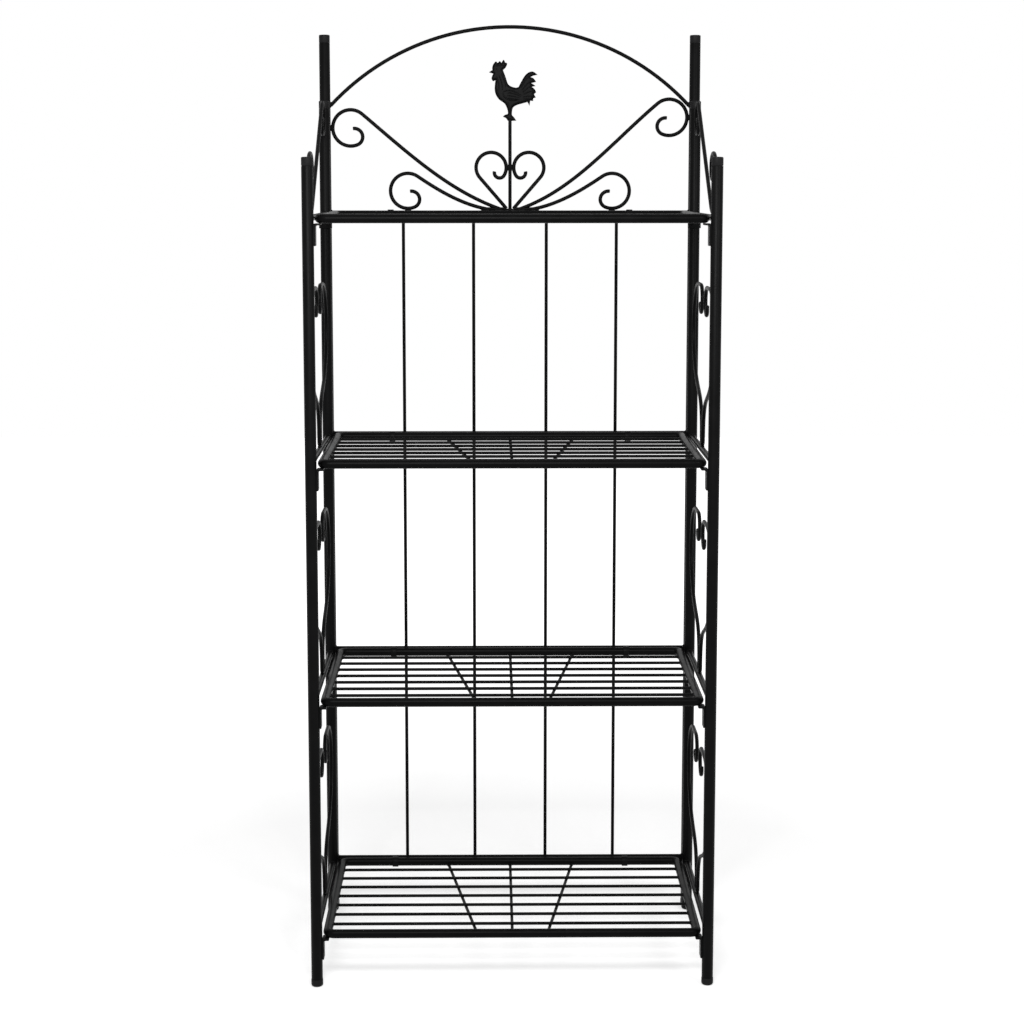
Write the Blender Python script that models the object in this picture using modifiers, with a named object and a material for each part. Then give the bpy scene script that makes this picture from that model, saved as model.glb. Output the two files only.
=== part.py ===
"""Four-shelf folding wire rack for plants: a back frame with an arched scrollwork crest, two side frames that
swing on the back frame, and four wire shelves that tip up on the back frame's rails.

Metres, +Z up, the front faces -Y. The origin is on the floor at the middle of the outline."""

import math

import bmesh
import bpy
from mathutils import Matrix, Vector

# Fits
GAP = 0.0003
HINGE_CLEAR = 0.0004
WELD = 0.0008
SHELF_SIDE_CLEAR = 0.0008

# Posts
POST_SPACING = 0.618
POST_D = 0.0180
POST_WALL = 0.0012
FRONT_POST_RISE = 0.0925
REAR_POST_RISE = 0.1885
UPRIGHT_RISE = 0.2975
CAP_H = 0.0135
CAP_ROUND = 0.0020
FOOT_D = 0.0188
FOOT_H = 0.0120
FOOT_ROUND = 0.0040
SPIGOT_L = 0.014

# Shelves
SHELF_COUNT = 4
BOTTOM_SHELF_Z = 0.0855
SHELF_PITCH = 0.374
SHELF_TUBE_D = 0.0142
SHELF_CORNER_R = 0.012
SHELF_WIRES = 7
WIRE_PITCH = 0.0445
WIRE_D = 0.0050
TIE_BACK_X = 0.108
TIE_FRONT_X = 0.054

# Back frame
CROSS_RAIL_D = 0.014
BACK_WIRE_D = 0.0055
BACK_WIRE_INNER_X = 0.0615
BACK_WIRE_OUTER_X = 0.180
STRAP_WALL = 0.0012
STRAP_W = 0.010
STRAP_X = 0.200
EYE_WALL = 0.0016
EYE_H = 0.010
EYE_DROP = 0.0175

# Scrollwork rods
ROD_D = 0.0062
ARCH_TOP_RISE = 0.3135
ARCH_BOW = 0.128
SCROLL_CURL_R = 0.030
SCROLL_TIP_R = 0.014
SCROLL_LEFT_CLEAR = 0.0132
SCROLL_RIGHT_CLEAR = 0.0010
SCROLL_FOOT_X = 0.0160
SCROLL_FOOT_RISE = math.radians(19)
SCROLL_JOIN = math.radians(130)
CURL_R = 0.0292
CURL_TIP_R = 0.0138
CURL_X = 0.1715
CURL_FOOT_X = 0.038
CURL_FOOT_RISE = math.radians(10)
CURL_JOIN = math.radians(124)
CREST_HEART_R = 0.0253
CREST_HEART_TIP_R = 0.0100
CREST_HEART_RISE = 0.071
STEM_D = 0.0058
STEM_RISE = 0.1555
ROOSTER_T = 0.0020

# Side frames
CROSSBAR_D = 0.010
HEART_BEND_R = 0.008
HEART_FLAT = 0.003
HEART_LEG = 0.095
HEART_TOP = 0.263
HEART_LOBE_R = 0.075
HEART_CURL_R = 0.0228
HEART_TIP_R = 0.0105
HEART_EYE = 0.0255
S_REAR_RISE = 0.158
S_REAR_R = 0.0255
S_REAR_TIP_R = 0.012
S_FRONT_R = 0.0450
S_FRONT_TIP_R = 0.018
SEAT_H = 0.034
SEAT_T = 0.0025
SEAT_W = 0.020
SEAT_BACK = 0.006
LEDGE_L = 0.0105
LEDGE_T = 0.0025

# Facets
TUBE_SIDES = 16
TURN_STEPS = 12
ROD_STEP = math.radians(21)

BLACK = (0.012, 0.012, 0.013, 1.0)
PLUG_BLACK = (0.010, 0.010, 0.010, 1.0)

# Derived places
POST_R = POST_D / 2
ROD_R = ROD_D / 2
TUBE_R = SHELF_TUBE_D / 2
RAIL_R = CROSS_RAIL_D / 2
BAR_R = CROSSBAR_D / 2
POST_X = POST_SPACING / 2
POST_FACE_X = POST_X - POST_R
SHELF_DEPTH = WIRE_PITCH * (SHELF_WIRES + 1)
STRAP_OUT = TUBE_R + HINGE_CLEAR + STRAP_WALL
EYE_OUT = POST_R + HINGE_CLEAR + EYE_WALL
SHELF_TO_RAIL = RAIL_R + STRAP_OUT - WELD
POST_TO_UPRIGHT = POST_R + EYE_OUT - WELD
WIRE_BEHIND = RAIL_R + GAP + BACK_WIRE_D
DEPTH = FOOT_D / 2 + SHELF_DEPTH + SHELF_TO_RAIL + WIRE_BEHIND
FRONT_Y = FOOT_D / 2 - DEPTH / 2
HINGE_Y = FRONT_Y + SHELF_DEPTH
UPRIGHT_Y = HINGE_Y + SHELF_TO_RAIL
REAR_Y = UPRIGHT_Y - POST_TO_UPRIGHT
SIDE_MID_Y = (FRONT_Y + REAR_Y) / 2
SIDE_HALF = (REAR_Y - FRONT_Y) / 2 - POST_R
LEVELS = [BOTTOM_SHELF_Z + SHELF_PITCH * i for i in range(SHELF_COUNT)]
TOP_Z = LEVELS[-1]
FRONT_POST_H = TOP_Z + FRONT_POST_RISE
REAR_POST_H = TOP_Z + REAR_POST_RISE
UPRIGHT_H = TOP_Z + UPRIGHT_RISE
STEM_TOP_Z = TOP_Z + STEM_RISE
SHELF_X = POST_FACE_X - SHELF_SIDE_CLEAR - TUBE_R
CREST_Z = TOP_Z + RAIL_R + GAP
LEVEL_NAMES = ["bottom", "lower", "upper", "top"]

# Rooster outline, millimetres right of the stem and above its top
ROOSTER = [
    ("base right", 4.0, 0.3),
    ("right toe", 10.8, 0.6),
    ("right toe top", 9.6, 2.6),
    ("right shank", 3.6, 5.0),
    ("right thigh", 5.4, 20.6),
    ("flank", 16.0, 25.0),
    ("rump", 26.0, 31.0),
    ("lowest plume root", 30.0, 30.5),
    ("lowest plume", 33.3, 24.6),
    ("fifth plume", 39.9, 33.1),
    ("fourth plume", 43.9, 38.8),
    ("fourth notch", 41.4, 43.5),
    ("third plume", 44.2, 49.3),
    ("third notch", 41.6, 54.0),
    ("second plume", 44.4, 62.4),
    ("second notch", 41.8, 66.5),
    ("first plume", 47.1, 76.8),
    ("tail top", 37.9, 81.8),
    ("tail front", 27.0, 73.5),
    ("tail base", 15.2, 56.0),
    ("saddle", 9.4, 54.0),
    ("back", -2.6, 58.4),
    ("neck foot", -4.3, 65.9),
    ("neck", -9.4, 77.0),
    ("nape", -10.2, 85.3),
    ("comb back", -5.2, 95.6),
    ("comb third notch", -8.6, 96.0),
    ("comb top", -10.4, 101.6),
    ("comb second notch", -13.5, 95.8),
    ("comb second point", -17.4, 98.9),
    ("comb first notch", -20.0, 94.0),
    ("comb first point", -25.4, 95.2),
    ("brow", -28.6, 91.0),
    ("beak root", -29.6, 85.6),
    ("beak tip", -35.2, 80.8),
    ("under beak", -28.4, 79.6),
    ("wattle", -30.0, 68.5),
    ("throat", -24.6, 72.0),
    ("chest", -26.2, 56.0),
    ("breast", -23.6, 44.0),
    ("belly", -19.0, 35.0),
    ("left thigh", -8.3, 27.7),
    ("left shank", -4.2, 11.0),
    ("left toe top", -10.4, 7.2),
    ("left toe", -10.8, 4.6),
    ("base left", -4.0, 0.3),
]


def clear_scene():
    for obj in list(bpy.data.objects):
        bpy.data.objects.remove(obj, do_unlink=True)


def material(name, colour, roughness, metallic):
    made = bpy.data.materials.new(name)
    made.use_nodes = True
    shader = made.node_tree.nodes["Principled BSDF"]
    shader.inputs["Base Color"].default_value = colour
    shader.inputs["Roughness"].default_value = roughness
    shader.inputs["Metallic"].default_value = metallic
    return made


def collection(name):
    made = bpy.data.collections.new(name)
    bpy.context.scene.collection.children.link(made)
    return made


def empty(name, location):
    made = bpy.data.objects.new(name, None)
    made.location = location
    PARTS.objects.link(made)
    return made


def put(name, data, parent, location=(0, 0, 0), look=None):
    """A part's object, at a world location, under the empty on its joint's axis."""
    made = bpy.data.objects.new(name, data)
    PARTS.objects.link(made)
    if look is not None and not data.materials:
        data.materials.append(look)
    made.parent = parent
    made.location = Vector(location) - parent.location
    return made


def baked(obj, name):
    """The object's evaluated shape as a plain mesh, with a curve's caps welded on."""
    bpy.context.view_layer.update()
    graph = bpy.context.evaluated_depsgraph_get()
    mesh = bpy.data.meshes.new_from_object(obj.evaluated_get(graph))
    mesh.name = name
    work = bmesh.new()
    work.from_mesh(mesh)
    bmesh.ops.transform(work, matrix=obj.matrix_world, verts=work.verts)
    bmesh.ops.remove_doubles(work, verts=work.verts, dist=1e-6)
    work.to_mesh(mesh)
    work.free()
    bpy.data.objects.remove(obj, do_unlink=True)
    return mesh


def smooth(mesh, angle=35):
    mesh.shade_smooth()
    mesh.set_sharp_from_angle(angle=math.radians(angle))
    return mesh


def turned(name, profile, closed, steps):
    """A shape of revolution about Z from (radius, height) pairs that run down the outside."""
    mesh = bpy.data.meshes.new(name)
    edges = [(i, i + 1) for i in range(len(profile) - 1)]
    if closed:
        edges.append((len(profile) - 1, 0))
    mesh.from_pydata([(r, 0, z) for r, z in profile], edges, [])
    obj = bpy.data.objects.new(name, mesh)
    CUTTERS.objects.link(obj)
    screw = obj.modifiers.new("Screw", "SCREW")
    screw.axis = "Z"
    screw.steps = steps
    screw.render_steps = steps
    screw.use_merge_vertices = True
    screw.merge_threshold = 0.00001
    screw.use_normal_calculate = False
    return smooth(baked(obj, name))


def ring_profile(inner, outer, low, high):
    return [(outer, high), (outer, low), (inner, low), (inner, high)]


def tube_mesh(name, outer_r, wall, low, high):
    return turned(name, ring_profile(outer_r - wall, outer_r, low, high), True, TUBE_SIDES)


def bar_mesh(name, radius, length, axis, sides):
    """A solid round bar centred on the origin along X, Y or Z."""
    mesh = bpy.data.meshes.new(name)
    work = bmesh.new()
    bmesh.ops.create_cone(
        work, cap_ends=True, segments=sides, radius1=radius, radius2=radius, depth=length
    )
    turn = {"X": Matrix.Rotation(math.pi / 2, 4, "Y"), "Y": Matrix.Rotation(math.pi / 2, 4, "X")}
    if axis in turn:
        bmesh.ops.transform(work, matrix=turn[axis], verts=work.verts)
    bmesh.ops.recalc_face_normals(work, faces=work.faces)
    work.to_mesh(mesh)
    work.free()
    return smooth(mesh)


def moved(mesh, matrix):
    mesh.transform(matrix)
    return mesh


def fused(name, meshes):
    """One welded piece from meshes that overlap."""
    base = bpy.data.objects.new(name, meshes[0])
    CUTTERS.objects.link(base)
    tools = []
    for i, mesh in enumerate(meshes[1:]):
        tool = bpy.data.objects.new(f"{name}_tool_{i}", mesh)
        tool.hide_render = True
        tool.display_type = "WIRE"
        CUTTERS.objects.link(tool)
        union = base.modifiers.new(f"Union {i}", "BOOLEAN")
        union.operation = "UNION"
        union.solver = "EXACT"
        union.object = tool
        tools.append(tool)
    mesh = baked(base, name)
    for tool in tools:
        bpy.data.objects.remove(tool, do_unlink=True)
    return smooth(mesh)


def rod_curve(name, points, radius, resolution, cyclic=False):
    """A round rod along points, as a curve with a bevel and closed ends."""
    curve = bpy.data.curves.new(name, "CURVE")
    curve.dimensions = "3D"
    curve.bevel_depth = radius
    curve.bevel_resolution = resolution
    curve.use_fill_caps = not cyclic
    curve.twist_mode = "Z_UP"
    spline = curve.splines.new("POLY")
    spline.points.add(len(points) - 1)
    for slot, point in zip(spline.points, points):
        slot.co = (*point, 1.0)
    spline.use_cyclic_u = cyclic
    spline.use_smooth = True
    return curve


def on_circle(centre, radius, angle):
    return (centre[0] + radius * math.cos(angle), centre[1] + radius * math.sin(angle))


def arc(centre, radius, start, sweep, step=ROD_STEP):
    count = max(2, math.ceil(abs(sweep) / step))
    return [on_circle(centre, radius, start + sweep * i / count) for i in range(count + 1)]


def curl(centre, radius, tip_radius, start, sweep, tip_sweep):
    """A round curl that tightens to its tip, tangent where the radius changes."""
    end = start + sweep
    shift = radius - tip_radius
    tip_centre = on_circle(centre, shift, end)
    tip = arc(tip_centre, tip_radius, end, tip_sweep, ROD_STEP * 1.5)
    return arc(centre, radius, start, sweep) + tip[1:]


def bezier(first, lead, trail, last, count):
    points = []
    for i in range(count + 1):
        t = i / count
        s = 1 - t
        points.append(
            tuple(
                s**3 * first[k] + 3 * s * s * t * lead[k] + 3 * s * t * t * trail[k] + t**3 * last[k]
                for k in (0, 1)
            )
        )
    return points


def heading(angle):
    return (math.cos(angle), math.sin(angle))


def along(point, angle, distance):
    way = heading(angle)
    return (point[0] + way[0] * distance, point[1] + way[1] * distance)


def swept_scroll(foot, rise, centre, radius, tip_radius, join):
    """A bar that rises from its foot into a curl, which turns over the top, down the outside and in."""
    start = on_circle(centre, radius, join)
    reach = math.dist(foot, start) / 3
    bar = bezier(foot, along(foot, rise, reach), along(start, join - math.pi / 2, -reach), start, 7)
    turn = curl(centre, radius, tip_radius, join, -(join + math.radians(112)), -math.radians(150))
    return bar + turn[1:]


def arch_circle():
    """Centre and rod radius of the arch; its outer edge is ARCH_BOW high over the gap it spans."""
    half = POST_FACE_X - GAP
    outer = (half**2 + ARCH_BOW**2) / (2 * ARCH_BOW)
    return (0.0, TOP_Z + ARCH_TOP_RISE - outer), outer - ROD_R


def crest_scroll(clear):
    """A scroll whose curl touches the upright and stays a clear distance under the arch."""
    middle, radius = arch_circle()
    x = POST_FACE_X - GAP - ROD_R - SCROLL_CURL_R
    reach = radius - ROD_D - clear - SCROLL_CURL_R
    centre = (x, middle[1] + math.sqrt(reach**2 - x**2))
    foot = (SCROLL_FOOT_X, CREST_Z + ROD_R)
    return swept_scroll(foot, SCROLL_FOOT_RISE, centre, SCROLL_CURL_R, SCROLL_TIP_R, SCROLL_JOIN)


def crest_curl():
    centre = (CURL_X, CREST_Z + ROD_R + CURL_R)
    foot = (CURL_FOOT_X, CREST_Z + ROD_R)
    return swept_scroll(foot, CURL_FOOT_RISE, centre, CURL_R, CURL_TIP_R, CURL_JOIN)


def crest_heart():
    """Right half of the heart that stands beside the stem."""
    clear = STEM_D / 2 + GAP
    centre = (clear + ROD_R + CREST_HEART_R, CREST_Z + CREST_HEART_RISE)
    foot = (clear + ROD_R * 0.8, CREST_Z + ROD_R * 0.8)
    apart = math.dist(foot, centre)
    aim = math.atan2(centre[1] - foot[1], centre[0] - foot[0])
    aim -= math.asin(CREST_HEART_R / apart)
    start = aim - math.pi / 2
    sweep = math.radians(217) - start
    return [foot] + curl(centre, CREST_HEART_R, CREST_HEART_TIP_R, start, sweep, math.radians(160))


def crest_arch():
    """The arc between the two uprights."""
    centre, radius = arch_circle()
    lean = math.asin((POST_FACE_X - GAP) / (radius + ROD_R))
    return arc(centre, radius, math.pi / 2 + lean, -2 * lean, math.radians(7))


def side_heart():
    """Half of the heart that fills a side bay, from the bend on the crossbar to the curl's tip."""
    low = BAR_R + GAP + ROD_R
    elbow = (HEART_FLAT, low + HEART_BEND_R)
    bend = arc(elbow, HEART_BEND_R, -math.pi / 2, math.pi / 2, math.radians(30))
    lobe_x = SIDE_HALF - GAP - ROD_R - HEART_LOBE_R
    top = HEART_TOP
    lobe = (lobe_x, top - HEART_LOBE_R)
    join = math.radians(-35)
    start = on_circle(lobe, HEART_LOBE_R, join)
    leg = bend[-1]
    tail = bezier(
        leg, along(leg, math.pi / 2, HEART_LEG), along(start, join + math.pi / 2, -HEART_LEG), start, 6
    )
    over = arc(lobe, HEART_LOBE_R, join, math.pi / 2 - join)
    curl_at = (HEART_EYE + HEART_CURL_R, top - HEART_CURL_R)
    turn = curl(
        curl_at, HEART_CURL_R, HEART_TIP_R, math.pi / 2, math.radians(150), math.radians(150)
    )
    return bend + tail[1:] + over[1:] + turn


def side_scroll(bar_z):
    """The S on the top crossbar: a small curl on the rear post and a large one on the front post."""
    rear = (SIDE_HALF - GAP - ROD_R - S_REAR_R, TOP_Z + S_REAR_RISE)
    front = (-SIDE_HALF + GAP + ROD_R + S_FRONT_R, bar_z + BAR_R + GAP + ROD_R + S_FRONT_R)
    apart = math.dist(rear, front)
    aim = math.atan2(rear[1] - front[1], rear[0] - front[0])
    lean = aim + math.acos(-(S_REAR_R + S_FRONT_R) / apart)
    back = curl(rear, S_REAR_R, S_REAR_TIP_R, lean, -(lean + math.radians(112)), -math.radians(150))
    fore = curl(
        front, S_FRONT_R, S_FRONT_TIP_R, lean + math.pi, -(lean + math.radians(120)), -math.radians(200)
    )
    return fore[::-1] + back


def end_piece(name, outer_r, height, round_r, up):
    """A moulded end plug: a rounded head and a spigot that fits the tube's bore."""
    bore_r = POST_R - POST_WALL - GAP
    head = []
    for i in range(4):
        angle = math.pi / 2 * i / 3
        head.append(
            (
                outer_r - round_r + round_r * math.sin(angle),
                height - round_r + round_r * math.cos(angle),
            )
        )
    profile = [(0.0, height)] + head + [(outer_r, 0.0), (bore_r, 0.0), (bore_r, -SPIGOT_L), (0.0, -SPIGOT_L)]
    if not up:
        profile = [(r, -z) for r, z in reversed(profile)]
    return turned(name, profile, False, TURN_STEPS)


def shelf_frame():
    """Rounded tube loop; the middle of its rear rail is the local origin."""
    reach = SHELF_X - SHELF_CORNER_R
    corners = [
        ((reach, -SHELF_CORNER_R), 0.0),
        ((-reach, -SHELF_CORNER_R), math.pi / 2),
        ((-reach, -SHELF_DEPTH + SHELF_CORNER_R), math.pi),
        ((reach, -SHELF_DEPTH + SHELF_CORNER_R), 1.5 * math.pi),
    ]
    points = []
    for centre, begin in corners:
        points += [(x, y, 0.0) for x, y in arc(centre, SHELF_CORNER_R, begin, math.pi / 2, math.radians(23))]
    return rod_curve("shelf_frame", points, TUBE_R, 2, cyclic=True)


def shelf_mat():
    """The wires of one shelf, welded on three ties that run front to back under them."""
    wire_l = 2 * (SHELF_X - TUBE_R - GAP)
    tie_drop = WIRE_D - WELD
    inset = TUBE_R + 3 * GAP
    ties = []
    for back_x, front_x in ((0.0, 0.0), (-TIE_BACK_X, -TIE_FRONT_X), (TIE_BACK_X, TIE_FRONT_X)):
        run = Vector((front_x - back_x, -SHELF_DEPTH, 0))
        length = run.length * (SHELF_DEPTH - 2 * inset) / SHELF_DEPTH
        tie = bar_mesh("tie", WIRE_D / 2, length, "Y", 6)
        turn = Matrix.Rotation(math.atan2(run.x, -run.y), 4, "Z")
        middle = Vector(((back_x + front_x) / 2, -SHELF_DEPTH / 2, -tie_drop))
        ties.append(moved(tie, Matrix.Translation(middle) @ turn))
    wires = []
    for i in range(SHELF_WIRES):
        wire = bar_mesh("wire", WIRE_D / 2, wire_l, "X", 6)
        wires.append(moved(wire, Matrix.Translation((0, -WIRE_PITCH * (i + 1), 0))))
    return fused("shelf_wires", [ties[0]] + wires + ties[1:])


def cross_rail():
    """A back rail with the two straps that hold a shelf's rear tube."""
    rail = bar_mesh("rail", RAIL_R, 2 * (POST_FACE_X - GAP), "X", 12)
    straps = []
    for side in (-1, 1):
        profile = ring_profile(TUBE_R + HINGE_CLEAR, STRAP_OUT, -STRAP_W / 2, STRAP_W / 2)
        strap = turned("strap", profile, True, TUBE_SIDES)
        turn = Matrix.Rotation(math.pi / 2, 4, "Y")
        place = Matrix.Translation((side * STRAP_X, -SHELF_TO_RAIL, 0))
        straps.append(moved(strap, place @ turn))
    return fused("cross_rail", [rail] + straps)


def upright():
    """A back post with the two eyes in which a side frame's rear post turns."""
    post = tube_mesh("upright", POST_R, POST_WALL, FOOT_H + GAP, UPRIGHT_H - CAP_H - GAP)
    eyes = []
    for level in (LEVELS[1], LEVELS[3]):
        profile = ring_profile(POST_R + HINGE_CLEAR, EYE_OUT, -EYE_H / 2, EYE_H / 2)
        eye = turned("eye", profile, True, TUBE_SIDES)
        eyes.append(moved(eye, Matrix.Translation((0, -POST_TO_UPRIGHT, level - EYE_DROP))))
    return fused("upright", [post] + eyes)


def box_mesh(name, low, high):
    mesh = bpy.data.meshes.new(name)
    work = bmesh.new()
    bmesh.ops.create_cube(work, size=1.0)
    size = [b - a for a, b in zip(low, high)]
    middle = [(a + b) / 2 for a, b in zip(low, high)]
    matrix = Matrix.Translation(middle) @ Matrix.Diagonal((*size, 1.0))
    bmesh.ops.transform(work, matrix=matrix, verts=work.verts)
    work.to_mesh(mesh)
    work.free()
    return mesh


def front_post(side):
    """A front post with the angle seats on its inner face, one under each shelf's corner."""
    meshes = [tube_mesh("front_post", POST_R, POST_WALL, FOOT_H + GAP, FRONT_POST_H - CAP_H - GAP)]
    sink = POST_R - WELD
    face = POST_R + SEAT_T
    tip = POST_R + LEDGE_L
    y = (SEAT_BACK - SEAT_W / 2, SEAT_BACK + SEAT_W / 2)
    for level in LEVELS:
        top = level - TUBE_R - GAP
        strap = ((sink, y[0], top - SEAT_H), (face, y[1], top))
        ledge = ((face - WELD, y[0], top - LEDGE_T), (tip, y[1], top))
        seat = []
        for low, high in (strap, ledge):
            xs = sorted((-side * low[0], -side * high[0]))
            seat.append(box_mesh("seat", (xs[0], *low[1:]), (xs[1], *high[1:])))
        meshes.append(fused("seat", seat))
    return fused("front_post", meshes)


def rooster():
    curve = bpy.data.curves.new("rooster", "CURVE")
    curve.dimensions = "2D"
    curve.fill_mode = "BOTH"
    curve.extrude = ROOSTER_T / 2
    spline = curve.splines.new("POLY")
    spline.points.add(len(ROOSTER) - 1)
    for slot, (_, x, z) in zip(spline.points, ROOSTER):
        slot.co = (x * 0.001, z * 0.001, 0.0, 1.0)
    spline.use_cyclic_u = True
    obj = bpy.data.objects.new("rooster", curve)
    CUTTERS.objects.link(obj)
    obj.rotation_euler = (math.pi / 2, 0, 0)
    return baked(obj, "rooster")


def crest_points(points, side=1):
    return [(side * x, 0.0, z) for x, z in points]


def build_back_frame(root):
    post = upright()
    cap = end_piece("cap", POST_R, CAP_H, CAP_ROUND, True)
    foot = end_piece("foot", FOOT_D / 2, FOOT_H, FOOT_ROUND, False)
    rail = cross_rail()
    wire_l = LEVELS[-1] - LEVELS[0] + CROSS_RAIL_D * 0.8
    wire = bar_mesh("back_wire", BACK_WIRE_D / 2, wire_l, "Z", 8)
    for side, word in ((-1, "left"), (1, "right")):
        x = side * POST_X
        put(f"upright_{word}", post, root, (x, UPRIGHT_Y, 0), STEEL)
        put(f"upright_cap_{word}", cap, root, (x, UPRIGHT_Y, UPRIGHT_H - CAP_H), PLASTIC)
        put(f"upright_foot_{word}", foot, root, (x, UPRIGHT_Y, FOOT_H), PLASTIC)
        clear = SCROLL_LEFT_CLEAR if side < 0 else SCROLL_RIGHT_CLEAR
        rods = (
            ("crest_scroll", crest_scroll(clear)),
            ("crest_curl", crest_curl()),
            ("crest_heart", crest_heart()),
        )
        for stem, points in rods:
            name = f"{stem}_{word}"
            curve = rod_curve(name, crest_points(points, side), ROD_R, 1)
            put(name, curve, root, (0, UPRIGHT_Y, 0), STEEL)
    for z, word in zip(LEVELS, LEVEL_NAMES):
        put(f"cross_rail_{word}", rail, root, (0, UPRIGHT_Y, z), STEEL)
    wire_y = UPRIGHT_Y + RAIL_R + GAP + BACK_WIRE_D / 2
    wire_z = (LEVELS[0] + LEVELS[-1]) / 2
    places = (-BACK_WIRE_OUTER_X, -BACK_WIRE_INNER_X, BACK_WIRE_INNER_X, BACK_WIRE_OUTER_X)
    for i, x in enumerate(places):
        put(f"back_wire_{i + 1}", wire, root, (x, wire_y, wire_z), STEEL)
    arch = rod_curve("crest_arch", crest_points(crest_arch()), ROD_R, 1)
    put("crest_arch", arch, root, (0, UPRIGHT_Y, 0), STEEL)
    stem_l = STEM_TOP_Z - CREST_Z
    stem = bar_mesh("crest_stem", STEM_D / 2, stem_l, "Z", 8)
    put("crest_stem", stem, root, (0, UPRIGHT_Y, CREST_Z + stem_l / 2), STEEL)
    put("rooster", rooster(), root, (0, UPRIGHT_Y, STEM_TOP_Z), STEEL)
    return cap, foot


def build_side_frames(cap, foot):
    rear = tube_mesh("rear_post", POST_R, POST_WALL, FOOT_H + GAP, REAR_POST_H - CAP_H - GAP)
    bar = bar_mesh("crossbar", BAR_R, 2 * (SIDE_HALF - GAP), "Y", 8)
    half = side_heart()
    outline = [(-y, z) for y, z in reversed(half)] + half
    heart = rod_curve("side_heart", [(0.0, y, z) for y, z in outline], ROD_R, 1)
    ess = rod_curve("side_scroll", [(0.0, y, z) for y, z in side_scroll(TOP_Z)], ROD_R, 1)
    for side, word in ((-1, "left"), (1, "right")):
        x = side * POST_X
        hinge = empty(f"{word}_side_hinge", (x, REAR_Y, 0))
        put(f"{word}_front_post", front_post(side), hinge, (x, FRONT_Y, 0), STEEL)
        put(f"{word}_rear_post", rear, hinge, (x, REAR_Y, 0), STEEL)
        for y, end, height in ((FRONT_Y, "front", FRONT_POST_H), (REAR_Y, "rear", REAR_POST_H)):
            put(f"{word}_{end}_cap", cap, hinge, (x, y, height - CAP_H), PLASTIC)
            put(f"{word}_{end}_foot", foot, hinge, (x, y, FOOT_H), PLASTIC)
        for z, level in zip(LEVELS, LEVEL_NAMES):
            put(f"{word}_crossbar_{level}", bar, hinge, (x, SIDE_MID_Y, z), STEEL)
        for z, level in zip(LEVELS[:-1], LEVEL_NAMES):
            put(f"{word}_heart_{level}", heart, hinge, (x, SIDE_MID_Y, z), STEEL)
        put(f"{word}_scroll", ess, hinge, (x, SIDE_MID_Y, 0), STEEL)


def build_shelves():
    frame = shelf_frame()
    mat = shelf_mat()
    for z, level in zip(LEVELS, LEVEL_NAMES):
        hinge = empty(f"{level}_shelf_hinge", (0, HINGE_Y, z))
        put(f"{level}_shelf_frame", frame, hinge, (0, HINGE_Y, z), STEEL)
        put(f"{level}_shelf_wires", mat, hinge, (0, HINGE_Y, z), STEEL)


clear_scene()
PARTS = collection("folding plant rack")
CUTTERS = collection("cutters")
STEEL = material("black powder coat", BLACK, 0.38, 0.0)
PLASTIC = material("black plastic", PLUG_BLACK, 0.5, 0.0)
ROOT = empty("back_frame", (0, 0, 0))
CAP, FOOT = build_back_frame(ROOT)
build_side_frames(CAP, FOOT)
build_shelves()
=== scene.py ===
"""Look of the folding wire rack: smooth powder-coated steel, moulded plugs, weld beads and a plain studio."""

import math

import bmesh
import bpy
from mathutils import Matrix, Vector
from mathutils.geometry import delaunay_2d_cdt
from mathutils.kdtree import KDTree


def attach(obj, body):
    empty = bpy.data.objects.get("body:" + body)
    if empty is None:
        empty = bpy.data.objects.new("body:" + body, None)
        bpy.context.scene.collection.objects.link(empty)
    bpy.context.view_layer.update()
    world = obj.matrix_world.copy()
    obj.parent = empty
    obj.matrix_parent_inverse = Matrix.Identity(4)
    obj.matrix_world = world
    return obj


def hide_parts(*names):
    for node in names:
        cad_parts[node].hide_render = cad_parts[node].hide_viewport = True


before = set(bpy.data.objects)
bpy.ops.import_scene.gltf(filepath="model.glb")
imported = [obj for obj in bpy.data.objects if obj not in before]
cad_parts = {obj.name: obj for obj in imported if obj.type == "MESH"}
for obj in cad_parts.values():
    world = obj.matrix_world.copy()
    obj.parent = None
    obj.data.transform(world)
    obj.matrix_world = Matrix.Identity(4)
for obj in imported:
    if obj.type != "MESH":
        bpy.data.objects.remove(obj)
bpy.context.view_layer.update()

# Sizes of the part, in metres
GAP = 0.0003
HINGE_CLEAR = 0.0004
WELD = 0.0008
POST_X = 0.309
POST_R = 0.009
POST_WALL = 0.0012
POST_FACE_X = POST_X - POST_R
FRONT_Y = -0.18715
REAR_Y = 0.16455
HINGE_Y = 0.16885
UPRIGHT_Y = 0.18375
SIDE_MID_Y = -0.0113
SIDE_HALF = 0.16685
LEVELS = [0.0855, 0.4595, 0.8335, 1.2075]
LEVEL_NAMES = ["bottom", "lower", "upper", "top"]
TOP_Z = LEVELS[-1]
FRONT_POST_H = TOP_Z + 0.0925
REAR_POST_H = TOP_Z + 0.1885
UPRIGHT_H = TOP_Z + 0.2975
CAP_H = 0.0135
CAP_ROUND = 0.0020
FOOT_R = 0.0094
FOOT_H = 0.0120
FOOT_ROUND = 0.0040
SPIGOT_L = 0.014
TUBE_R = 0.0071
RAIL_R = 0.007
BAR_R = 0.005
SHELF_X = 0.2921
SHELF_DEPTH = 0.356
SHELF_CORNER_R = 0.012
WIRE_PITCH = 0.0445
WIRE_R = 0.0025
SHELF_WIRES = 7
TIES = [(-0.108, -0.054), (0.0, 0.0), (0.108, 0.054)]
TIE_DROP = 2 * WIRE_R - WELD
BACK_WIRE_R = 0.00275
BACK_WIRE_X = [-0.180, -0.0615, 0.0615, 0.180]
BACK_WIRE_Y = UPRIGHT_Y + RAIL_R + GAP + BACK_WIRE_R
STRAP_IN = TUBE_R + HINGE_CLEAR
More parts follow.
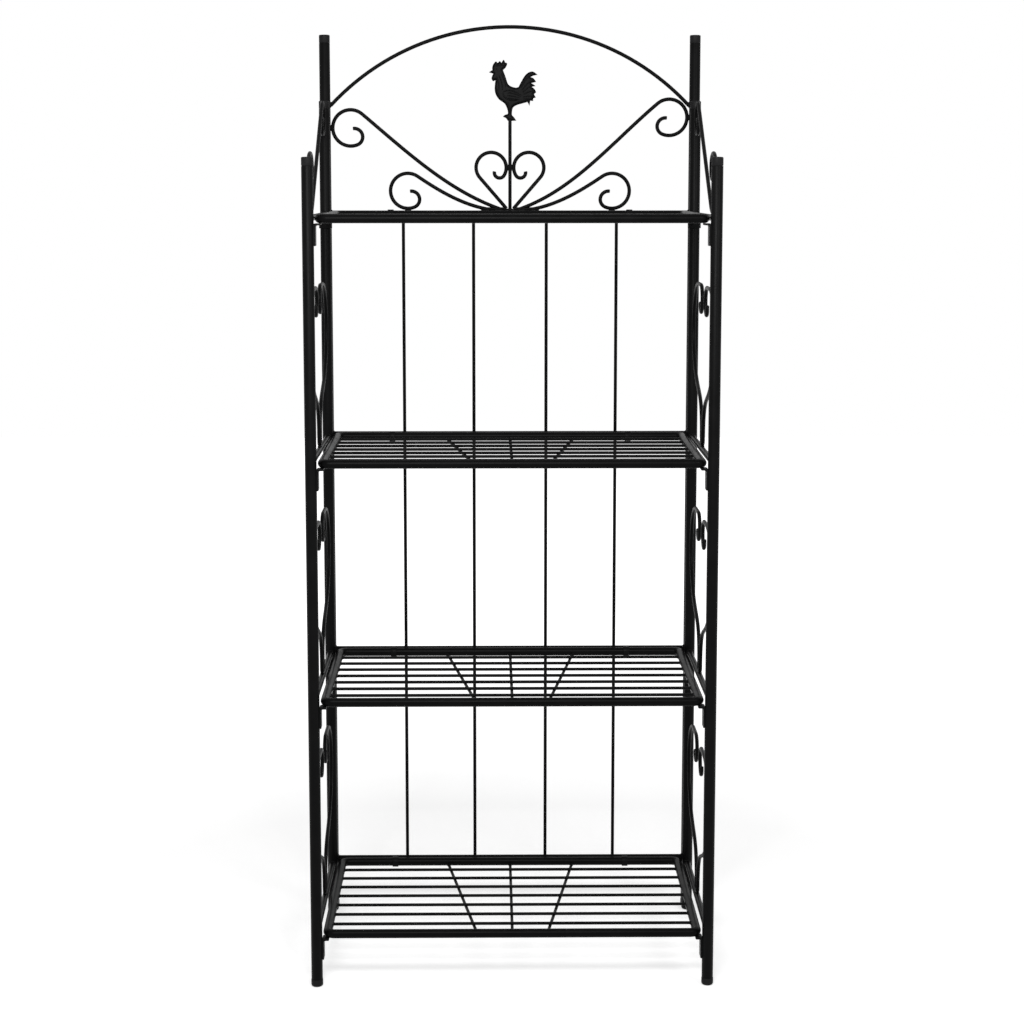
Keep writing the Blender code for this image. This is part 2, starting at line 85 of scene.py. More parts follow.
STRAP_OUT = STRAP_IN + 0.0012
STRAP_W = 0.010
STRAP_X = 0.200
EYE_IN = POST_R + HINGE_CLEAR
EYE_OUT = EYE_IN + 0.0016
EYE_H = 0.010
EYE_DROP = 0.0175
ROD_R = 0.0031
STEM_R = 0.0029
CREST_Z = TOP_Z + RAIL_R + GAP
STEM_TOP_Z = TOP_Z + 0.1555
ARCH_TOP_Z = TOP_Z + 0.3135
ARCH_BOW = 0.128
SCROLL_R = 0.030
SCROLL_TIP_R = 0.014
SCROLL_CLEAR = {"left": 0.0132, "right": 0.0010}
SCROLL_FOOT_X = 0.016
SCROLL_RUN = 0.0095
CURL_R = 0.0292
CURL_TIP_R = 0.0138
CURL_X = 0.1715
CURL_FOOT_X = 0.038
CURL_RUN = 0.018
FOOT_SINK = 0.0012
CREST_HEART_R = 0.0253
CREST_HEART_TIP_R = 0.0088
CREST_HEART_RISE = 0.071
HEART_BEND_R = 0.008
HEART_FLAT = 0.003
HEART_LEG = 0.095
HEART_TOP = 0.263
HEART_LOBE_R = 0.075
HEART_CURL_R = 0.0228
HEART_TIP_R = 0.0105
HEART_EYE = 0.0255
S_REAR_RISE = 0.158
S_REAR_R = 0.0255
S_REAR_TIP_R = 0.012
S_FRONT_R = 0.045
S_FRONT_TIP_R = 0.018
SEAT_H = 0.034
SEAT_T = 0.0025
SEAT_W = 0.020
SEAT_BACK = 0.006
LEDGE_L = 0.0105
LEDGE_T = 0.0025
PLATE_EDGE = 0.0006
PLATE_CROWN = 0.0018

# How far bars run into the tube that carries them, and how far edges are eased
RAIL_BITE = 0.0033
BAR_BITE = 0.0018
ARCH_BITE = 0.002
CAP_CROWN = 0.0004
TUBE_SOFT = 0.0004
EYE_SOFT = 0.0006
STRAP_SOFT = 0.0005
SEAT_SOFT = 0.0004
SEAT_BEND = 0.0022

# Directions and turns of the rods, in degrees
SCROLL_LEAVE, SCROLL_JOIN = 19, 130
CURL_LEAVE, CURL_JOIN = 10, 124
CREST_SWEEP, CREST_TIP_TURN = 112, 168
CREST_HEART_END, CREST_HEART_TIP_TURN = 211, 164
HEART_JOIN, HEART_CURL_TURN, HEART_TIP_TURN = -35, 150, 150
S_REAR_SWEEP, S_REAR_TIP_TURN = 112, 150
S_FRONT_SWEEP, S_FRONT_TIP_TURN = 120, 200

# Weld beads: a radius, or half sizes of a lump
RAIL_BEAD = 0.0013
BAR_BEAD = 0.0012
SHELF_WIRE_BEAD = 0.0008
CREASE_BEAD = 0.0016
BACK_WIRE_BEAD = (0.0013, 0.0014, 0.0030)
ARCH_BEAD = (0.0022, 0.0040, 0.0052)
SCROLL_BEAD = (0.0014, 0.0013, 0.0050)
SCROLL_FOOT_BEAD = (0.0014, 0.0015, 0.0070)
CURL_BEAD = (0.0013, 0.0013, 0.0055)
CURL_FOOT_BEAD = (0.0013, 0.0014, 0.0075)
CREST_HEART_BEAD = (0.0012, 0.0012, 0.0055)
STEM_FOOT_BEAD = (0.0085, 0.0040, 0.0024)
STEM_TOP_BEAD = (0.0030, 0.0026, 0.0024)
SEAT_BEAD = (0.0016, 0.0016, 0.0085)
HEART_FOOT_BEAD = (0.0013, 0.0013, 0.0048)
HEART_LOBE_BEAD = (0.0013, 0.0013, 0.0065)
S_BEAD = (0.0013, 0.0013, 0.0055)
TIE_BEAD = (0.0027, 0.0027, 0.0011)
TIE_END_BEAD = (0.0034, 0.0018, 0.0030)

SIDES = (("left", -1), ("right", 1))
FINE = math.radians(5)
MM = 0.001
X_AXIS = Vector((1, 0, 0))
Y_AXIS = Vector((0, 1, 0))
Z_AXIS = Vector((0, 0, 1))


# Materials
def node(tree, kind, **values):
    made = tree.nodes.new(kind)
    for key, value in values.items():
        setattr(made, key, value)
    return made


def noise(tree, where, scale, detail, roughness=0.5):
    made = node(tree, "ShaderNodeTexNoise")
    made.inputs["Scale"].default_value = scale
    made.inputs["Detail"].default_value = detail
    made.inputs["Roughness"].default_value = roughness
    tree.links.new(where, made.inputs["Vector"])
    return made.outputs["Fac"]


def spread(tree, value, low, high, out_low, out_high):
    """A value moved from one range to another."""
    made = node(tree, "ShaderNodeMapRange")
    for key, number in (("From Min", low), ("From Max", high), ("To Min", out_low), ("To Max", out_high)):
        made.inputs[key].default_value = number
    tree.links.new(value, made.inputs["Value"])
    return made.outputs["Result"]


def blend(tree, factor, first, second):
    """Colour mixed between two, each a plain colour or another node's output."""
    made = node(tree, "ShaderNodeMix", data_type="RGBA")
    tree.links.new(factor, made.inputs["Factor"])
    for key, value in (("A", first), ("B", second)):
        slot = [s for s in made.inputs if s.name == key and s.type == "RGBA"][0]
        if isinstance(value, tuple):
            slot.default_value = value
        else:
            tree.links.new(value, slot)
    return [s for s in made.outputs if s.type == "RGBA"][0]


def bumped(tree, height, strength, distance, under=None):
    made = node(tree, "ShaderNodeBump")
    made.inputs["Strength"].default_value = strength
    made.inputs["Distance"].default_value = distance
    tree.links.new(height, made.inputs["Height"])
    if under is not None:
        tree.links.new(under, made.inputs["Normal"])
    return made.outputs["Normal"]


def grey(level):
    return (level, level, level * 1.03, 1.0)


def powder_coat():
    """Black baked powder: fine orange peel, a drift in gloss, thin lighter edges that are partly rubbed wear
    and partly a painted sheen, and a little dust on top.
    """
    look = bpy.data.materials.new("black_powder_coat")
    look.use_nodes = True
    tree = look.node_tree
    shader = tree.nodes["Principled BSDF"]
    where = node(tree, "ShaderNodeTexCoord").outputs["Object"]
    geometry = node(tree, "ShaderNodeNewGeometry")
    drift = noise(tree, where, 34, 4)
    peel = noise(tree, where, 620, 2)
    grain = noise(tree, where, 2600, 1)
    tone = blend(tree, spread(tree, drift, 0.3, 0.7, 0, 1), grey(0.0015), grey(0.0032))
    # Convex edges painted lighter grey: partly rubbed wear, partly a painted sheen along the edges.
    edge = spread(tree, geometry.outputs["Pointiness"], 0.53, 0.62, 0, 0.25)
    edge_wear_and_sheen = blend(tree, edge, tone, grey(0.045))
    facing = node(tree, "ShaderNodeSeparateXYZ")
    tree.links.new(geometry.outputs["Normal"], facing.inputs[0])
    up = spread(tree, facing.outputs["Z"], 0.55, 1.0, 0, 1)
    speck = spread(tree, noise(tree, where, 150, 6, 0.7), 0.50, 0.68, 0, 0.06)
    dust = node(tree, "ShaderNodeMath", operation="MULTIPLY")
    tree.links.new(up, dust.inputs[0])
    tree.links.new(speck, dust.inputs[1])
    tree.links.new(blend(tree, dust.outputs[0], edge_wear_and_sheen, grey(0.11)), shader.inputs["Base Color"])
    tree.links.new(spread(tree, drift, 0.25, 0.75, 0.32, 0.42), shader.inputs["Roughness"])
    fine = bumped(tree, grain, 0.10, 0.00006)
    tree.links.new(bumped(tree, peel, 0.18, 0.00018, fine), shader.inputs["Normal"])
    shader.inputs["Specular IOR Level"].default_value = 0.038
    return look


def moulded_plastic():
    """Black moulded plugs: spark-eroded texture and scuffs that go grey."""
    look = bpy.data.materials.new("black_plug_plastic")
    look.use_nodes = True
    tree = look.node_tree
    shader = tree.nodes["Principled BSDF"]
    where = node(tree, "ShaderNodeTexCoord").outputs["Object"]
    grain = noise(tree, where, 1500, 3, 0.6)
    drift = noise(tree, where, 90, 4)
    scuff = spread(tree, noise(tree, where, 330, 5, 0.7), 0.56, 0.72, 0, 0.35)
    tone = blend(tree, spread(tree, drift, 0.3, 0.7, 0, 1), grey(0.0060), grey(0.0100))
    tree.links.new(blend(tree, scuff, tone, grey(0.025)), shader.inputs["Base Color"])
    tree.links.new(spread(tree, drift, 0.25, 0.75, 0.46, 0.60), shader.inputs["Roughness"])
    tree.links.new(bumped(tree, grain, 0.25, 0.00012), shader.inputs["Normal"])
    shader.inputs["Specular IOR Level"].default_value = 0.09
    return look


LOOKS = {"coat": powder_coat(), "plug": moulded_plastic()}


# Mesh building
def at_right_angle(way):
    return way.cross(X_AXIS if abs(way.x) < 0.8 else Z_AXIS).normalized()


def skin(bm, rings, loop):
    """Faces between rings of points, with flat ends unless the rings close on themselves."""
    made = [[bm.verts.new(point) for point in ring] for ring in rings]
    count = len(made[0])
    pairs = list(zip(made, made[1:]))
    if loop:
        pairs.append((made[-1], made[0]))
    for low, high in pairs:
        for i in range(count):
            j = (i + 1) % count
            bm.faces.new((low[i], low[j], high[j], high[i]))
    if not loop:
        bm.faces.new(made[0][::-1])
        bm.faces.new(made[-1])


def sweep(bm, points, radius, sides=16, loop=False, ease=0.3, flat=1.0, flat_way=None):
    """A round bar along points; radius is one number or one for each point. Free ends are eased."""
    path = [Vector(point) for point in points]
    count = len(path)
    sizes = list(radius) if isinstance(radius, (list, tuple)) else [radius] * count
    ways = []
    for i in range(count):
        before = path[i - 1] if loop or i > 0 else path[i]
        after = path[(i + 1) % count] if loop or i < count - 1 else path[i]
        ways.append((after - before).normalized())
    side = at_right_angle(ways[0])
    stations = []
    for i in range(count):
        if i:
            side = ways[i - 1].rotation_difference(ways[i]) @ side
        side = (side - ways[i] * side.dot(ways[i])).normalized()
        stations.append((path[i], ways[i], side, sizes[i]))
    if not loop and ease:
        stations = eased(stations, ease)
    rings = []
    for point, way, side, size in stations:
        up = way.cross(side)
        ring = []
        for k in range(sides):
            angle = 2 * math.pi * k / sides
            offset = size * (math.cos(angle) * side + math.sin(angle) * up)
            if flat_way is not None:
                offset -= flat_way * offset.dot(flat_way) * (1 - flat)
            ring.append(point + offset)
        rings.append(ring)
    skin(bm, rings, loop)


def eased(stations, ease):
    """The same stations with the two ends rounded over."""
    first, last = stations[0], stations[-1]
    steps = ((0.0, 1 - ease), (0.12, 1 - 0.45 * ease), (0.45, 1 - 0.10 * ease), (1.0, 1.0))
    head = []
    for along, size in steps:
        head.append((first[0] + first[1] * first[3] * ease * along, first[1], first[2], first[3] * size))
    tail = []
    for along, size in reversed(steps):
        tail.append((last[0] - last[1] * last[3] * ease * along, last[1], last[2], last[3] * size))
    return head + stations[1:-1] + tail


def lathe(bm, profile, place, sides=40, loop=False):
    """A shape of revolution about the local Z of place, from (radius, height) pairs."""
    rings = []
    for r, z in profile:
        if r == 0:
            rings.append([bm.verts.new(place @ Vector((0, 0, z)))])
            continue
        ring = []
        for k in range(sides):
            angle = 2 * math.pi * k / sides
            ring.append(bm.verts.new(place @ Vector((r * math.cos(angle), r * math.sin(angle), z))))
        rings.append(ring)
    pairs = list(zip(rings, rings[1:]))
    if loop:
        pairs.append((rings[-1], rings[0]))
    for low, high in pairs:
        for i in range(sides):
            j = (i + 1) % sides
            corners = [low[i % len(low)], low[j % len(low)], high[j % len(high)], high[i % len(high)]]
            kept = list(dict.fromkeys(corners))
            bm.faces.new(kept)


def soft_ring(inner, outer, low, high, soft):
    """Cross-section of a ring with rounded edges."""
    return [
        (inner, low + soft),
        (inner + 0.3 * soft, low + 0.3 * soft),
        (inner + soft, low),
        (outer - soft, low),
        (outer - 0.3 * soft, low + 0.3 * soft),
        (outer, low + soft),
        (outer, high - soft),
        (outer - 0.3 * soft, high - 0.3 * soft),
        (outer - soft, high),
        (inner + soft, high),
        (inner + 0.3 * soft, high - 0.3 * soft),
        (inner, high - soft),
    ]


def blob(bm, centre, sizes, turn=None, fine=2):
    """A rounded lump of weld."""
    place = Matrix.Translation(centre) @ (turn or Matrix.Identity(4)) @ Matrix.Diagonal((*sizes, 1))
    bmesh.ops.create_icosphere(bm, subdivisions=fine, radius=1, matrix=place)


def saddle(bm, host, toward, host_axis, rod_r, host_r, bead, count=28):
    """A weld bead around a bar that runs square into a round tube."""
    across = host_axis.cross(toward)
    points, sizes = [], []
    for k in range(count):
        angle = 2 * math.pi * k / count
        u = rod_r * math.cos(angle)
        v = rod_r * math.sin(angle)
        points.append(host - toward * math.sqrt(host_r**2 - u**2) + across * u + host_axis * v)
        sizes.append(bead * (1 + 0.13 * math.sin(7 * angle + host.z * 90)))
    sweep(bm, points, sizes, 8, loop=True)


def piece(name, bm, body, nodes=(), slot="coat"):
    """The finished mesh as an object that rides on a body and stands for its part nodes."""
    bmesh.ops.recalc_face_normals(bm, faces=bm.faces)
    for face in bm.faces:
        face.smooth = True
    mesh = bpy.data.meshes.new(name)
    bm.to_mesh(mesh)
    bm.free()
    mesh.set_sharp_from_angle(angle=math.radians(40))
    mesh.materials.append(LOOKS[slot])
    obj = bpy.data.objects.new(name, mesh)
    bpy.context.scene.collection.objects.link(obj)
    if nodes:
        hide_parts(*nodes)
    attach(obj, body)


def coated(node_name, bm, body):
    """A coated piece that stands for one node."""
    piece(f"{node_name}_coated", bm, body, [node_name])


# Paths of the rods
def on_circle(centre, radius, angle):
    return (centre[0] + radius * math.cos(angle), centre[1] + radius * math.sin(angle))


def arc(centre, radius, start, turn, step=FINE):
    count = max(2, math.ceil(abs(turn) / step))
    return [on_circle(centre, radius, start + turn * i / count) for i in range(count + 1)]


def curl(centre, radius, tip_radius, start, turn, tip_turn):
    """A round curl that tightens to its tip."""
    end = start + turn
    tip_centre = on_circle(centre, radius - tip_radius, end)
    return arc(centre, radius, start, turn) + arc(tip_centre, tip_radius, end, tip_turn, FINE * 1.6)[1:]


def bezier(first, lead, trail, last, count):
    points = []
    for i in range(count + 1):
        t = i / count
        s = 1 - t
        weights = (s**3, 3 * s * s * t, 3 * s * t * t, t**3)
        corners = (first, lead, trail, last)
        points.append(tuple(sum(w * c[k] for w, c in zip(weights, corners)) for k in (0, 1)))
    return points


def along(point, angle, distance):
    return (point[0] + math.cos(angle) * distance, point[1] + math.sin(angle) * distance)


def swept_scroll(foot, leave, centre, radius, tip_radius, join):
    """A bar that rises from its foot and runs into a curl; leave and join are in degrees."""
    rise, join = math.radians(leave), math.radians(join)
    start = on_circle(centre, radius, join)
    reach = math.dist(foot, start) / 3
    bar = bezier(foot, along(foot, rise, reach), along(start, join - math.pi / 2, -reach), start, 30)
    sweep_turn = -(join + math.radians(CREST_SWEEP))
    turn = curl(centre, radius, tip_radius, join, sweep_turn, -math.radians(CREST_TIP_TURN))
    return bar + turn[1:]


def arch_circle():
    half = POST_FACE_X - GAP
    outer = (half**2 + ARCH_BOW**2) / (2 * ARCH_BOW)
    return (0.0, ARCH_TOP_Z - outer), outer - ROD_R


def scroll_centre(word):
    middle, radius = arch_circle()
    x = POST_FACE_X - GAP - ROD_R - SCROLL_R
    reach = radius - 2 * ROD_R - SCROLL_CLEAR[word] - SCROLL_R
    return (x, middle[1] + math.sqrt(reach**2 - x**2))


def crest_scroll(word):
    foot = (SCROLL_FOOT_X, CREST_Z + ROD_R - FOOT_SINK)
    rod = swept_scroll(foot, SCROLL_LEAVE, scroll_centre(word), SCROLL_R, SCROLL_TIP_R, SCROLL_JOIN)
    return [(SCROLL_FOOT_X - SCROLL_RUN, foot[1])] + rod


def crest_curl():
    centre = (CURL_X, CREST_Z + ROD_R + CURL_R)
    foot = (CURL_FOOT_X, CREST_Z + ROD_R - FOOT_SINK)
    rod = swept_scroll(foot, CURL_LEAVE, centre, CURL_R, CURL_TIP_R, CURL_JOIN)
    return [(CURL_FOOT_X - CURL_RUN, foot[1])] + rod


def crest_heart():
    clear = STEM_R + GAP
    centre = (clear + ROD_R + CREST_HEART_R, CREST_Z + CREST_HEART_RISE)
    foot = (clear + ROD_R * 0.8, CREST_Z + ROD_R * 0.8)
    apart = math.dist(foot, centre)
    aim = math.atan2(centre[1] - foot[1], centre[0] - foot[0]) - math.asin(CREST_HEART_R / apart)
    start = aim - math.pi / 2
    turn = math.radians(CREST_HEART_END) - start
    tip_turn = math.radians(CREST_HEART_TIP_TURN)
    return [foot] + curl(centre, CREST_HEART_R, CREST_HEART_TIP_R, start, turn, tip_turn)


def crest_arch():
    centre, radius = arch_circle()
    lean = math.asin((POST_FACE_X + ARCH_BITE) / (radius + ROD_R))
    return arc(centre, radius, math.pi / 2 + lean, -2 * lean, math.radians(2))


def side_heart():
    """Half of a side frame's heart, from the middle of its foot to the curl's tip."""
    low = BAR_R + GAP + ROD_R
    elbow = (HEART_FLAT, low + HEART_BEND_R)
    bend = arc(elbow, HEART_BEND_R, -math.pi / 2, math.pi / 2, math.radians(12))
    lobe = (SIDE_HALF - GAP - ROD_R - HEART_LOBE_R, HEART_TOP - HEART_LOBE_R)
    join = math.radians(HEART_JOIN)
    start = on_circle(lobe, HEART_LOBE_R, join)
    leg = bend[-1]
    lead = along(leg, math.pi / 2, HEART_LEG)
    trail = along(start, join + math.pi / 2, -HEART_LEG)
    tail = bezier(leg, lead, trail, start, 26)
    over = arc(lobe, HEART_LOBE_R, join, math.pi / 2 - join)
    curl_at = (HEART_EYE + HEART_CURL_R, HEART_TOP - HEART_CURL_R)
    main, tip = math.radians(HEART_CURL_TURN), math.radians(HEART_TIP_TURN)
    turn = curl(curl_at, HEART_CURL_R, HEART_TIP_R, math.pi / 2, main, tip)
    return bend + tail[1:] + over[1:] + turn


def side_scroll():
    """The S on the top crossbar: the centres of its two curls and its whole path."""
    rear = (SIDE_HALF - GAP - ROD_R - S_REAR_R, TOP_Z + S_REAR_RISE)
    front = (-SIDE_HALF + GAP + ROD_R + S_FRONT_R, TOP_Z + BAR_R + GAP + ROD_R + S_FRONT_R)
    apart = math.dist(rear, front)
    aim = math.atan2(rear[1] - front[1], rear[0] - front[0])
    lean = aim + math.acos(-(S_REAR_R + S_FRONT_R) / apart)
    turn = -(lean + math.radians(S_REAR_SWEEP))
    back = curl(rear, S_REAR_R, S_REAR_TIP_R, lean, turn, -math.radians(S_REAR_TIP_TURN))
    turn = -(lean + math.radians(S_FRONT_SWEEP))
    fore = curl(front, S_FRONT_R, S_FRONT_TIP_R, lean + math.pi, turn, -math.radians(S_FRONT_TIP_TURN))
    return rear, front, fore[::-1] + back


# Pieces shared by the frames
def tube(bm, x, y, low, high):
    place = Matrix.Translation((x, y, 0))
    lathe(bm, soft_ring(POST_R - POST_WALL, POST_R, low, high, TUBE_SOFT), place, 48, loop=True)


def plug(node_name, x, y, z, body, up):
    """A moulded end plug with a crowned head and a spigot in the tube's bore."""
    outer = POST_R if up else FOOT_R
    height = CAP_H if up else FOOT_H
    soft = CAP_ROUND if up else FOOT_ROUND
    bore = POST_R - POST_WALL - GAP
    profile = [(0.0, height)]
    for share in (0.35, 0.7):
        profile.append(((outer - soft) * share, height - CAP_CROWN * share**2))
    for i in range(9):
        angle = math.pi / 2 * i / 8
        drop = (soft - CAP_CROWN) * (1 - math.cos(angle))
        profile.append((outer - soft + soft * math.sin(angle), height - CAP_CROWN - drop))
    profile += [(outer, 0.0005), (outer - 0.0003, 0.0)]
    profile += [(bore, 0.0), (bore, -SPIGOT_L), (0.0, -SPIGOT_L)]
    if not up:
        profile = [(r, -h) for r, h in profile]
    bm = bmesh.new()
    lathe(bm, profile, Matrix.Translation((x, y, z)), 48)
    piece(f"{node_name}_moulded", bm, body, [node_name], "plug")


def two_beads(bm, centre, along_way, apart_way, apart, sizes):
    """Weld in the creases on both sides of a rod that lies against another."""
    turn = Matrix((along_way.cross(apart_way), apart_way, along_way)).transposed().to_4x4()
    for side in (-1, 1):
        blob(bm, centre + apart_way * side * apart, sizes, turn)


def crease_beads(bm, first, first_r, second, second_r, way, half):
    """Two straight beads along the creases where two round shapes meet side by side."""
    between = second - first
    apart = between.length
    toward = between.normalized()
    reach = (apart**2 + first_r**2 - second_r**2) / (2 * apart)
    out = math.sqrt(first_r**2 - reach**2)
    across = way.cross(toward)
    for side in (-1, 1):
        middle = first + toward * reach + across * side * (out + 0.0005)
        steps = [middle + way * half * (k / 6 - 1) for k in range(13)]
        sizes = [CREASE_BEAD * (1 + 0.12 * math.sin(k * 1.9 + side)) for k in range(13)]
        sweep(bm, steps, sizes, 10, ease=0.6)


# Back frame
def build_uprights():
    for word, side in SIDES:
        x = side * POST_X
        bm = bmesh.new()
        tube(bm, x, UPRIGHT_Y, FOOT_H + GAP, UPRIGHT_H - CAP_H - GAP)
        for level in (LEVELS[1], LEVELS[3]):
            z = level - EYE_DROP
            ring = soft_ring(EYE_IN, EYE_OUT, -EYE_H / 2, EYE_H / 2, EYE_SOFT)
            lathe(bm, ring, Matrix.Translation((x, REAR_Y, z)), 48, loop=True)
            post = Vector((x, UPRIGHT_Y, z))
            crease_beads(bm, post, POST_R, Vector((x, REAR_Y, z)), EYE_OUT, Z_AXIS, EYE_H * 0.42)
        coated(f"upright_{word}", bm, "back_frame")
        plug(f"upright_cap_{word}", x, UPRIGHT_Y, UPRIGHT_H - CAP_H, "back_frame", True)
        plug(f"upright_foot_{word}", x, UPRIGHT_Y, FOOT_H, "back_frame", False)


def build_rails(welds):
    reach = POST_FACE_X + RAIL_BITE
    for level, z in zip(LEVEL_NAMES, LEVELS):
        bm = bmesh.new()
        line = [(-reach + 2 * reach * i / 20, UPRIGHT_Y, z) for i in range(21)]
        sweep(bm, line, RAIL_R, 28, ease=0.05)
        for _, side in SIDES:
            centre = Vector((side * STRAP_X, HINGE_Y, z))
            place = Matrix.Translation(centre) @ Matrix.Rotation(math.pi / 2, 4, "Y")
            ring = soft_ring(STRAP_IN, STRAP_OUT, -STRAP_W / 2, STRAP_W / 2, STRAP_SOFT)
            lathe(bm, ring, place, 40, loop=True)
            rail_at = Vector((side * STRAP_X, UPRIGHT_Y, z))
            crease_beads(bm, rail_at, RAIL_R, centre, STRAP_OUT, X_AXIS, STRAP_W * 0.42)
            host = Vector((side * POST_X, UPRIGHT_Y, z))
            saddle(welds, host, X_AXIS * side, Z_AXIS, RAIL_R, POST_R, RAIL_BEAD)
        coated(f"cross_rail_{level}", bm, "back_frame")


def build_back_wires(welds):
    low = LEVELS[0] - RAIL_R * 0.8
    high = LEVELS[-1] + RAIL_R * 0.8
    for i, x in enumerate(BACK_WIRE_X):
        bm = bmesh.new()
        line = [(x, BACK_WIRE_Y, low + (high - low) * k / 24) for k in range(25)]
        sweep(bm, line, BACK_WIRE_R, 16, ease=0.5)
        coated(f"back_wire_{i + 1}", bm, "back_frame")
        for z in LEVELS:
            at = Vector((x, UPRIGHT_Y + RAIL_R + 0.0006, z))
            two_beads(welds, at, Z_AXIS, X_AXIS, BACK_WIRE_R * 0.85, BACK_WIRE_BEAD)


def crest(points, side=1):
    """Points of the crest in the frame's plane, mirrored where side is -1."""
    return [(side * x, UPRIGHT_Y, z) for x, z in points]


def build_crest(welds):
    arch = crest_arch()
    bm = bmesh.new()
    sweep(bm, crest(arch), ROD_R, 18, ease=0.05)
    coated("crest_arch", bm, "back_frame")
    for word, side in SIDES:
        rods = (
            ("crest_scroll", crest_scroll(word)),
            ("crest_curl", crest_curl()),
            ("crest_heart", crest_heart()),
        )
        for stem, points in rods:
            bm = bmesh.new()
            sweep(bm, crest(points, side), ROD_R, 18, ease=0.45)
            coated(f"{stem}_{word}", bm, "back_frame")
        face = side * (POST_FACE_X - 0.0002)
        blob(welds, (face, UPRIGHT_Y, arch[-1][1] + 0.0015), ARCH_BEAD)
        touch = Vector((face, UPRIGHT_Y, scroll_centre(word)[1]))
        two_beads(welds, touch, Z_AXIS, Y_AXIS, ROD_R * 0.8, SCROLL_BEAD)
        curl_at = Vector((side * CURL_X, UPRIGHT_Y, CREST_Z))
        two_beads(welds, curl_at, X_AXIS, Y_AXIS, ROD_R * 0.8, CURL_BEAD)
        foot_at = Vector((side * (CURL_FOOT_X + 0.004), UPRIGHT_Y, CREST_Z + 0.0004))
        two_beads(welds, foot_at, X_AXIS, Y_AXIS, ROD_R * 0.75, CURL_FOOT_BEAD)
        scroll_foot = Vector((side * (SCROLL_FOOT_X + 0.003), UPRIGHT_Y, CREST_Z + 0.0004))
        two_beads(welds, scroll_foot, X_AXIS, Y_AXIS, ROD_R * 0.75, SCROLL_FOOT_BEAD)
        heart_touch = Vector((side * (STEM_R + GAP / 2), UPRIGHT_Y, CREST_Z + CREST_HEART_RISE))
        two_beads(welds, heart_touch, Z_AXIS, Y_AXIS, 0.0015, CREST_HEART_BEAD)
    blob(welds, (0, UPRIGHT_Y, CREST_Z + 0.0008), STEM_FOOT_BEAD)
    bm = bmesh.new()
    line = [(0, UPRIGHT_Y, CREST_Z + (STEM_TOP_Z - CREST_Z) * k / 12) for k in range(13)]
    sweep(bm, line, STEM_R, 18, ease=0.3)
    coated("crest_stem", bm, "back_frame")
    blob(welds, (0, UPRIGHT_Y, STEM_TOP_Z + 0.0006), STEM_TOP_BEAD)


# Side frames
def seat(bm, side, z):
    """A bent strap: a leg welded on the post's inner face and a ledge under the shelf's corner."""
    top = z - TUBE_R - GAP
    back = POST_R - WELD
    face = POST_R + SEAT_T
    tip = POST_R + LEDGE_L
    soft, bend = SEAT_SOFT, SEAT_BEND
    outline = [(back, top - SEAT_H + 0.002), (back + 0.0008, top - SEAT_H)]
    outline += [(face - soft, top - SEAT_H), (face, top - SEAT_H + soft), (face, top - LEDGE_T - bend)]
    for k in range(1, 6):
        angle = math.pi / 2 * k / 5
        rise = top - LEDGE_T - bend + bend * math.sin(angle)
        outline.append((face + bend * (1 - math.cos(angle)), rise))
    outline += [(tip - soft, top - LEDGE_T), (tip, top - LEDGE_T + soft)]
    outline += [(tip, top - soft), (tip - soft, top)]
    for k in range(6):
        angle = math.pi / 2 * k / 5
        outline.append((back + bend * (1 - math.sin(angle)), top - bend * (1 - math.cos(angle))))
    y_low = FRONT_Y + SEAT_BACK - SEAT_W / 2
    rounding = ((0.0, 0.0005), (0.0002, 0.0002), (0.0006, 0.0))
    cuts = [(y_low + d, inset) for d, inset in rounding]
    cuts += [(y_low + SEAT_W - d, inset) for d, inset in reversed(rounding)]
    middle = Vector((sum(p[0] for p in outline), sum(p[1] for p in outline))) / len(outline)
    rings = []
    for y, inset in cuts:
        ring = []
        for px, pz in outline:
            spot = Vector((px, pz))
            spot += (middle - spot).normalized() * inset
            ring.append(Vector((side * (POST_X - spot.x), y, spot.y)))
        rings.append(ring)
    skin(bm, rings, False)


